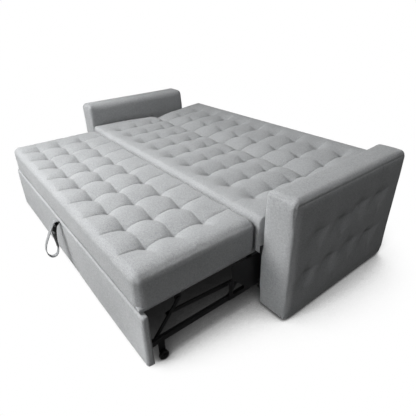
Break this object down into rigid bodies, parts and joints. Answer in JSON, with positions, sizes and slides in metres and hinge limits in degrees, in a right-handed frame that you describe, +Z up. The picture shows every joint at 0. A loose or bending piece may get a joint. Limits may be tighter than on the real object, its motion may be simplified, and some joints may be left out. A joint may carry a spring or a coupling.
{
  "type": "sleeper sofa with pull-out bed",
  "caption": "Tufted fabric sleeper sofa opened flat: fixed box arms, seat slab, click-clack back laid flat, and a raised pull-out bed on a wheeled steel trundle.",
  "frame": {"origin": "on the floor under the middle of the opened sofa's overall box, the pull strap included", "axes": "+X across the sofa towards the arm nearest the picture's camera, +Y from the pull-out bed towards the back, +Z up"},
  "size_m": [2.19, 1.767, 0.636],
  "materials": {
    "grey_weave": "pale grey heathered woven upholstery, matt",
    "pull_webbing": "grey upholstery fabric over black webbing",
    "plywood": "raw birch plywood, light sanding",
    "black_board": "black faced board, matt",
    "black_steel": "black powder coat, fine texture",
    "zinc_steel": "zinc plated pressed steel, dull",
    "black_plastic": "black moulded plastic, worn where it rolls"
  },
  "bodies": {
    "sofa_base": {"seat_cushion": "grey_weave", "seat_board": "plywood", "seat_front_rail": "black_board", "seat_rear_rail": "black_board", "left_seat_side_rail": "black_board", "right_seat_side_rail": "black_board", "base_rear_board": "black_board", "left_guide_channel": "black_steel", "right_guide_channel": "black_steel", "left_arm_cover": "grey_weave", "right_arm_cover": "grey_weave", "left_arm_inner_board": "plywood", "right_arm_inner_board": "plywood", "left_arm_outer_board": "plywood", "right_arm_outer_board": "plywood", "left_arm_top_board": "plywood", "right_arm_top_board": "plywood", "left_arm_bottom_board": "black_board", "right_arm_bottom_board": "black_board", "left_front_glide": "black_plastic", "right_front_glide": "black_plastic", "left_rear_glide": "black_plastic", "right_rear_glide": "black_plastic", "left_hinge_fixed_plate": "zinc_steel", "right_hinge_fixed_plate": "zinc_steel", "left_hinge_pin": "zinc_steel", "right_hinge_pin": "zinc_steel"},
    "folding_back": {"back_board": "plywood", "back_cushion": "grey_weave", "left_hinge_moving_plate": "zinc_steel", "right_hinge_moving_plate": "zinc_steel"},
    "trundle": {"front_panel_cover": "grey_weave", "front_panel_board": "black_board", "left_lower_rail": "black_steel", "right_lower_rail": "black_steel", "rear_cross_tube": "black_steel", "left_side_plate": "black_steel", "right_side_plate": "black_steel", "left_panel_bracket": "black_steel", "right_panel_bracket": "black_steel", "left_caster_leg": "black_steel", "right_caster_leg": "black_steel", "left_caster_axle": "black_steel", "right_caster_axle": "black_steel"},
    "deck": {"deck_board": "black_board", "pull_out_cushion": "grey_weave", "left_deck_runner": "black_steel", "right_deck_runner": "black_steel"},
    "pull_strap_loop": {"pull_strap": "pull_webbing"},
    "left_front_lift": {"left_front_link": "black_steel"},
    "left_rear_lift": {"left_rear_link": "black_steel"},
    "left_tie": {"left_tie_bar": "black_steel"},
    "left_caster": {"left_caster_wheel": "black_plastic"},
    "left_roller": {"left_rear_roller": "black_plastic"},
    "right_front_lift": {"right_front_link": "black_steel"},
    "right_rear_lift": {"right_rear_link": "black_steel"},
    "right_tie": {"right_tie_bar": "black_steel"},
    "right_caster": {"right_caster_wheel": "black_plastic"},
    "right_roller": {"right_rear_roller": "black_plastic"}
  },
  "joints": [
    {"name": "back_fold", "type": "hinge", "parent": "sofa_base", "child": "folding_back", "pos_m": [0, 0.37352, 0.474], "axis": [1, 0, 0], "range_deg": [0, 72]},
    {"name": "trundle_slide", "type": "slide", "parent": "sofa_base", "child": "trundle", "axis": [0, -1, 0], "range_m": [0, 0.156]},
    {"name": "left_front_lift_hinge", "type": "hinge", "parent": "trundle", "child": "left_front_lift", "pos_m": [-0.8792, -0.71948, 0.118], "axis": [-1, 0, 0], "range_deg": [0, 53.7]},
    {"name": "left_rear_lift_hinge", "type": "hinge", "parent": "trundle", "child": "left_rear_lift", "pos_m": [-0.8792, -0.32148, 0.118], "axis": [-1, 0, 0], "range_deg": [0, 53.7]},
    {"name": "right_front_lift_hinge", "type": "hinge", "parent": "trundle", "child": "right_front_lift", "pos_m": [0.8792, -0.71948, 0.118], "axis": [-1, 0, 0], "range_deg": [0, 53.7]},
    {"name": "right_rear_lift_hinge", "type": "hinge", "parent": "trundle", "child": "right_rear_lift", "pos_m": [0.8792, -0.32148, 0.118], "axis": [-1, 0, 0], "range_deg": [0, 53.7]},
    {"name": "deck_level", "type": "hinge", "parent": "left_front_lift", "child": "deck", "pos_m": [-0.8734, -0.58959, 0.27008], "axis": [1, 0, 0], "range_deg": [0, 53.7]},
    {"name": "left_tie_level", "type": "hinge", "parent": "left_front_lift", "child": "left_tie", "pos_m": [-0.8676, -0.64154, 0.20925], "axis": [1, 0, 0], "range_deg": [0, 53.7]},
    {"name": "right_tie_level", "type": "hinge", "parent": "right_front_lift", "child": "right_tie", "pos_m": [0.8676, -0.64154, 0.20925], "axis": [1, 0, 0], "range_deg": [0, 53.7]},
    {"name": "left_caster_spin", "type": "hinge", "parent": "trundle", "child": "left_caster", "pos_m": [-0.8948, -0.69348, 0.0225], "axis": [1, 0, 0], "continuous": true},
    {"name": "left_roller_spin", "type": "hinge", "parent": "trundle", "child": "left_roller", "pos_m": [-0.9122, 0.02052, 0.1215], "axis": [1, 0, 0], "continuous": true},
    {"name": "right_caster_spin", "type": "hinge", "parent": "trundle", "child": "right_caster", "pos_m": [0.8948, -0.69348, 0.0225], "axis": [1, 0, 0], "continuous": true},
    {"name": "right_roller_spin", "type": "hinge", "parent": "trundle", "child": "right_roller", "pos_m": [0.9122, 0.02052, 0.1215], "axis": [1, 0, 0], "continuous": true},
    {"name": "strap_swing", "type": "hinge", "parent": "trundle", "child": "pull_strap_loop", "pos_m": [0, -0.77778, 0.306], "axis": [-1, 0, 0], "range_deg": [0, 80]}
  ],
  "couplings": [
    {"joint": "left_front_lift_hinge", "follows": "trundle_slide", "rad_per_m": 6},
    {"joint": "left_rear_lift_hinge", "follows": "trundle_slide", "rad_per_m": 6},
    {"joint": "right_front_lift_hinge", "follows": "trundle_slide", "rad_per_m": 6},
    {"joint": "right_rear_lift_hinge", "follows": "trundle_slide", "rad_per_m": 6},
    {"joint": "deck_level", "follows": "trundle_slide", "rad_per_m": 6},
    {"joint": "left_tie_level", "follows": "trundle_slide", "rad_per_m": 6},
    {"joint": "right_tie_level", "follows": "trundle_slide", "rad_per_m": 6}
  ]
}
